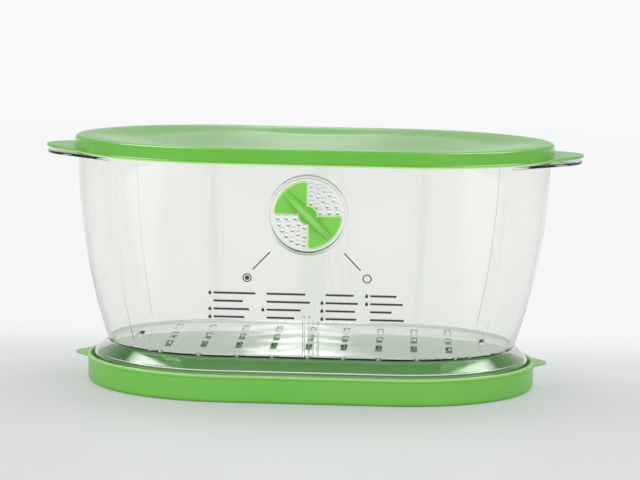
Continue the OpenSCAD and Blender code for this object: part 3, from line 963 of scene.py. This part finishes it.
def make_dial(material):
    """The dial: wings and hub, blade and stem. Its edges and the blade's crest get a painted highlight."""
    outline = wings_outline()
    dial = slab("dial", outline, WING_BACK, WING_FRONT, VENT)
    flats_inset(rounded_edges(dial, WING_ROUND, segments=4, angle=60))
    combined(dial, [grip_blade(), snap_stem()], "UNION")
    to_dial = VENT.inverted()
    blade_z = WING_FRONT + 1
    stem_z = PLATE_BACK / 2

    def rim(place, normal):
        """Painted highlight, stronger up the blade and along the edge of the wings, and none on the stem."""
        place = to_dial @ (place * MM) / MM
        if place.z > blade_z:
            return CREST_HIGHLIGHT * (place.z - WING_FRONT - GRIP_H / 2) / GRIP_H
        inward = edge_distance(place.xy, outline) if place.z > stem_z else WING_R
        return 1 - (inward - WING_ROUND) / DIAL_HIGHLIGHT_FADE * 2

    return finished(painted_highlights_marked(smoothed(dial), rim), material, "dial", "vent_dial")


# The lid and the tray

def lid_tab(place=None):
    """A leaf tab that rises a little from the skirt's bottom edge to its tip."""
    outline = leaf_outline(SKIRT_R, TAB_REACH, TAB_NOSE_R, SKIRT_R - SKIRT_T / 2)
    plate = rounded_edges(slab("lid_tab", outline, SKIRT_Z, SKIRT_Z + TAB_T), TAB_ROUND)
    root_x = HALF_RUN + SKIRT_R * math.cos(leaf_spread(SKIRT_R, TAB_REACH, TAB_NOSE_R))
    for vert in plate.data.vertices:
        along = vert.co.x / MM - root_x
        vert.co.z += along / (TAB_REACH - root_x) * TAB_RISE * MM
    if place:
        plate.data.transform(place)
    return plate


def lid_wave(x, y):
    """The lid's thin middle is a little warped: it tips to and fro along its length."""
    inside = max(0, 1 - (math.hypot(max(abs(x) - HALF_RUN, 0), y) / DISH_R) ** 2)
    return -LID_WAVE * y / DISH_R * inside * math.cos(2 * math.pi * x / LID_WAVE_LENGTH)


def make_lid(material):
    """The lid with its two tabs. The wave moves its plate alone, and the skirt's edge gets a painted
    highlight.
    """
    lid = swept("lid_cover", lid_section(), ring=False)
    plate_z = LID_SEAT_Z - DISH_DEPTH - 0.5
    for vertex in lid.data.vertices:
        x, y, z = vertex.co / MM
        if z > plate_z:
            vertex.co.z = min(vertex.co.z + lid_wave(x, y) * MM, LID_Z * MM)
    combined(lid, [lid_tab(), lid_tab(HALF_ROUND)], "UNION")

    # Painted highlight along the skirt's bead, strongest on upright faces
    def rim(place, normal):
        return (LID_HIGHLIGHT_UPRIGHT - abs(normal.z)) * (LID_HIGHLIGHT_TOP - place.z) / LID_HIGHLIGHT_FADE

    return finished(painted_highlights_marked(smoothed(lid), rim), material, "cover", "lid")


def make_tray(material):
    """The water tray with its two thumb tabs. Its rim gets a painted highlight."""
    tray = swept("tray_pan", tray_section(), ring=False)
    top = TRAY_H - EDGE_ROUND
    tabs = [rounded_edges(slab("thumb_tab", thumb_outline(), top - THUMB_T, top, place), TAB_ROUND)
            for place in (None, HALF_ROUND)]
    combined(tray, tabs, "UNION")

    # Painted highlight along the top of the tray's rim
    def rim(place, normal):
        return TRAY_HIGHLIGHT_LEVEL - (TRAY_H - place.z) / TRAY_HIGHLIGHT_FADE

    return finished(painted_highlights_marked(smoothed(tray), rim), material, "base", "water_tray")


# The print on the front: generic marks, each a thin film on the wall. Places are (x, z).

PRINT_LIFT = 0.02
PRINT_T = 0.05
STRIP_H = 2
LEADER_W = 0.75
LEADERS = (((-23.6, 98.5), (-34.4, 87.0)), ((23.4, 99.0), (34.2, 87.8)))
SYMBOLS = ((-38.0, 81.5, "closed"), (38.4, 82.5, "open"))
SYMBOL_R = 2.9
SYMBOL_LINE = 0.7
RING_SIDES = 32

# Columns of bars: the left end, the length of each bar, and the rows that have a drop
COLUMNS = (
    (-59.5, (27, 19, 23, 20), (0, 2, 3)),
    (-25.6, (25, 28, 22, 18), (2,)),
    (12.1, (18, 21, 19, 20), (1, 2, 3)),
    (40.5, (17, 21, 14, 22), (0, 1)),
)
ROW_TOP = 71.2
ROW_PITCH = 5.3
BAR_H = 1.35
DROP_SIZE = 2.5
DROP_OFFSET = (-2.2, -0.3)


def bar_outline(x, z, length):
    """A bar with round ends."""
    half = BAR_H / 2
    return arc((x + length - half, z), half, -90, 90, 8) + arc((x + half, z), half, 90, 270, 8)


def drop_outline(x, z, size):
    """A water drop: a round belly under a point."""
    belly = size * 0.42
    tip = (x, z + size * 0.75)
    lean = math.degrees(math.asin(belly / (tip[1] - z)))
    return arc((x, z), belly, 180 - lean, 360 + lean, 16) + [tip]


def film(outline, hole=()):
    """A flat mark laid on the leaning front wall, as thin as ink."""
    bm = bmesh.new()
    edges = []
    for loop in (outline, hole):
        verts = [bm.verts.new((x * MM, 0, z * MM)) for x, z in loop]
        edges += [bm.edges.new((verts[i], verts[(i + 1) % len(verts)])) for i in range(len(verts))]
    bmesh.ops.triangle_fill(bm, edges=edges, use_beauty=True)
    level = min(z for x, z in outline) + STRIP_H
    while level < max(z for x, z in outline):
        geometry = bm.verts[:] + bm.edges[:] + bm.faces[:]
        bmesh.ops.bisect_plane(bm, geom=geometry, plane_co=(0, 0, level * MM), plane_no=(0, 0, 1))
        level += STRIP_H
    bmesh.ops.remove_doubles(bm, verts=bm.verts, dist=MERGE_DIST)
    raised = bmesh.ops.extrude_face_region(bm, geom=bm.faces[:], use_keep_orig=True)
    upper = {item for item in raised["geom"] if isinstance(item, bmesh.types.BMVert)}
    for vert in bm.verts:
        lift = PRINT_LIFT + (PRINT_T if vert in upper else 0)
        vert.co.y = -(wall_radius(vert.co.z / MM) + lift) * MM
    bmesh.ops.recalc_face_normals(bm, faces=bm.faces)
    return object_of("mark", bm)


def leader_outline(start, end):
    """A straight line with a width."""
    along = (Vector(end) - Vector(start)).normalized() * LEADER_W / 2
    side = Vector((-along.y, along.x))
    corners = [Vector(start) + side, Vector(start) - side, Vector(end) - side, Vector(end) + side]
    return [tuple(corner) for corner in corners]


def ring_outline(x, z, radius):
    """A full circle."""
    return arc((x, z), radius, 0, 360 - 360 / RING_SIDES, RING_SIDES - 1)


def symbol_films(x, z, state):
    """A small ring: with a full dot for closed, and empty for open."""
    films = [film(ring_outline(x, z, SYMBOL_R), ring_outline(x, z, SYMBOL_R - SYMBOL_LINE))]
    if state == "closed":
        films.append(film(ring_outline(x, z, SYMBOL_R - 2 * SYMBOL_LINE)))
    return films


def make_print(material):
    """All the marks, joined into one piece."""
    films = [film(leader_outline(start, end)) for start, end in LEADERS]
    for x, z, state in SYMBOLS:
        films += symbol_films(x, z, state)
    for x, lengths, drop_rows in COLUMNS:
        for row, length in enumerate(lengths):
            z = ROW_TOP - row * ROW_PITCH
            films.append(film(bar_outline(x, z, length)))
            if row in drop_rows:
                films.append(film(drop_outline(x + DROP_OFFSET[0], z + DROP_OFFSET[1], DROP_SIZE)))
    bm = bmesh.new()
    for one in films:
        bm.from_mesh(one.data)
        bpy.data.objects.remove(one)
    return finished(object_of("front_print", bm), material, "base")


# Stage

def ray_masks(tree):
    """Masks of the rays that see straight, through the clear plastic, and in gloss."""
    rays = tree.nodes.new("ShaderNodeLightPath").outputs
    through = rays["Is Transmission Ray"]
    gloss = maths(tree, "MULTIPLY", rays["Is Glossy Ray"], maths(tree, "SUBTRACT", 1, through))
    return rays["Is Camera Ray"], through, gloss


def make_floor():
    """A pale grey floor, a little glossy, that fades to white behind the keeper and far from it."""
    turns = [2 * math.pi * i / FLOOR_SIDES for i in range(FLOOR_SIDES)]
    points = [(FLOOR_RADIUS / MM * math.cos(a), FLOOR_RADIUS / MM * math.sin(a), 0) for a in turns]
    floor = mesh_piece("floor", points, [tuple(range(FLOOR_SIDES))])
    material, tree, shader = new_material("pale_floor")
    feed(tree, shader, {"Base Color": FLOOR_COLOUR, "Roughness": 0.3, "Specular IOR Level": 0.12})
    place = made(tree, "ShaderNodeTexCoord", output="Object")
    y = made(tree, "ShaderNodeSeparateXYZ", {"Vector": place}, "Y")
    away = made(tree, "ShaderNodeVectorMath", {0: place}, "Value", operation="LENGTH")
    strength = maths(tree, "MAXIMUM", fade(tree, y, *GLOW_BACK), fade(tree, away, *GLOW_FAR))
    glow = made(tree, "ShaderNodeEmission", {"Color": BACKDROP_COLOUR, "Strength": strength})

    behind = fade(tree, y, *WHITE_BACK)
    white = maths(tree, "MAXIMUM", behind, fade(tree, away, *WHITE_FAR))
    straight = fade(tree, maths(tree, "DIVIDE", y, away), *WHITE_STRAIGHT)
    camera, through, gloss = ray_masks(tree)
    seen = maths(tree, "MULTIPLY", maths(tree, "MAXIMUM", camera, through),
                 maths(tree, "MAXIMUM", white, FLOOR_GLOW))
    mirrored = maths(tree, "MULTIPLY", gloss, maths(tree, "MULTIPLY", behind, straight))
    share = maths(tree, "ADD", seen, mirrored)
    feed(tree, tree.nodes["Material Output"], {"Surface": mixed(tree, share, shader.outputs["BSDF"], glow)})
    floor.data.materials.append(material)


def make_world():
    """White where it is seen straight, a plain soft light, and a studio for gloss and clear plastic:
    a white wall behind that is brightest at the horizon and dark above, with soft spots of light."""
    world = bpy.data.worlds.new("studio")
    scene.world = world
    world.use_nodes = True
    tree = world.node_tree
    direction = made(tree, "ShaderNodeTexCoord", output="Generated")
    y, z = (made(tree, "ShaderNodeSeparateXYZ", {"Vector": direction}, axis) for axis in "YZ")
    camera, through, gloss = ray_masks(tree)
    wall = maths(tree, "MULTIPLY", fade(tree, y, *WALL_FADE), fade(tree, z, *HORIZON_FADE))
    wall = maths(tree, "MULTIPLY", wall, fade(tree, z, *CEILING_FADE))
    wall = maths(tree, "MULTIPLY", wall, maths(tree, "SUBTRACT", 1, through))
    behind = maths(tree, "MULTIPLY", through, fade(tree, z, *THROUGH_FADE))
    spots = 0
    for aim, spread, strength in SOFT_SPOTS:
        near = made(tree, "ShaderNodeVectorMath", {0: direction, 1: Vector(aim).normalized()}, "Value",
                    operation="DOT_PRODUCT")
        edge = math.cos(math.radians(spread))
        spot = fade(tree, near, edge, 1 - (1 - edge) * SPOT_CORE, 0, strength)
        spots = maths(tree, "ADD", spots, spot)
    level = maths(tree, "ADD", maths(tree, "ADD", wall, behind), spots)

    soft = tree.nodes["Background"]
    feed(tree, soft, {"Color": (1, 1, 1, 1), "Strength": SOFT_LIGHT})
    studio, plain = (made(tree, "ShaderNodeBackground", {"Color": BACKDROP_COLOUR, "Strength": strength})
                     for strength in (level, BACKDROP_LEVEL))
    around = mixed(tree, maths(tree, "MAXIMUM", through, gloss), soft.outputs["Background"], studio)
    feed(tree, tree.nodes["World Output"], {"Surface": mixed(tree, camera, around, plain)})


def soft_box(name, place, target, width, height, power):
    """A rectangular studio lamp aimed at a point, unseen in gloss and through clear plastic."""
    light = bpy.data.lights.new(name, "AREA")
    light.shape = "RECTANGLE"
    light.size = width
    light.size_y = height
    light.energy = power
    lamp = new_object(name, light)
    lamp.location = place
    lamp.rotation_euler = (Vector(target) - Vector(place)).to_track_quat("-Z", "Y").to_euler()
    lamp.visible_glossy = False
    lamp.visible_transmission = False


def make_camera():
    """The photograph's viewpoint: a long lens a little above the lid and to the right."""
    forward = Vector((math.sin(CAMERA_YAW) * math.cos(CAMERA_PITCH),
                      math.cos(CAMERA_YAW) * math.cos(CAMERA_PITCH), math.sin(CAMERA_PITCH)))
    level = Vector((math.cos(CAMERA_YAW), -math.sin(CAMERA_YAW), 0))
    upright = level.cross(forward)
    right = level * math.cos(CAMERA_ROLL) + upright * math.sin(CAMERA_ROLL)
    up = upright * math.cos(CAMERA_ROLL) - level * math.sin(CAMERA_ROLL)
    data = bpy.data.cameras.new("camera")
    data.sensor_width = 36
    data.lens = CAMERA_LENS
    data.clip_start = 0.05
    data.clip_end = 200
    camera = new_object("camera", data)
    turn = Matrix((right, up, -forward)).transposed()
    camera.matrix_world = Matrix.Translation(CAMERA_PLACE) @ turn.to_4x4()
    scene.camera = camera


# The whole scene

make_camera()
make_floor()
make_world()
for lamp_name, lamp_values in LAMPS.items():
    soft_box(lamp_name, *lamp_values)
scene.view_settings.view_transform = "Standard"

finish_group = moulded_finish()
tray_green = green_plastic("tray_green", finish_group, linear(107, 182, 70), linear(112, 185, 75), 0.28, 0.3)
lid_green = green_plastic("lid_green", finish_group, linear(98, 173, 60), linear(102, 176, 65), 0.17, 0.04)
dial_green = green_plastic("dial_green", finish_group, linear(114, 191, 70), linear(120, 194, 76), 0.24, 0.3)
clear = clear_plastic(finish_group)
ink = printed_ink(finish_group)
straight_row = copies_tree("straight_row", {"Start": "Vector", "Step": "Vector"}, in_a_row)
arc_row = copies_tree("arc_row", {"Radius": "Float", "From": "Float", "To": "Float"}, on_an_arc)

make_tray(tray_green)
make_bin(clear, straight_row, arc_row)
make_dial(dial_green)
make_lid(lid_green)
make_print(ink)
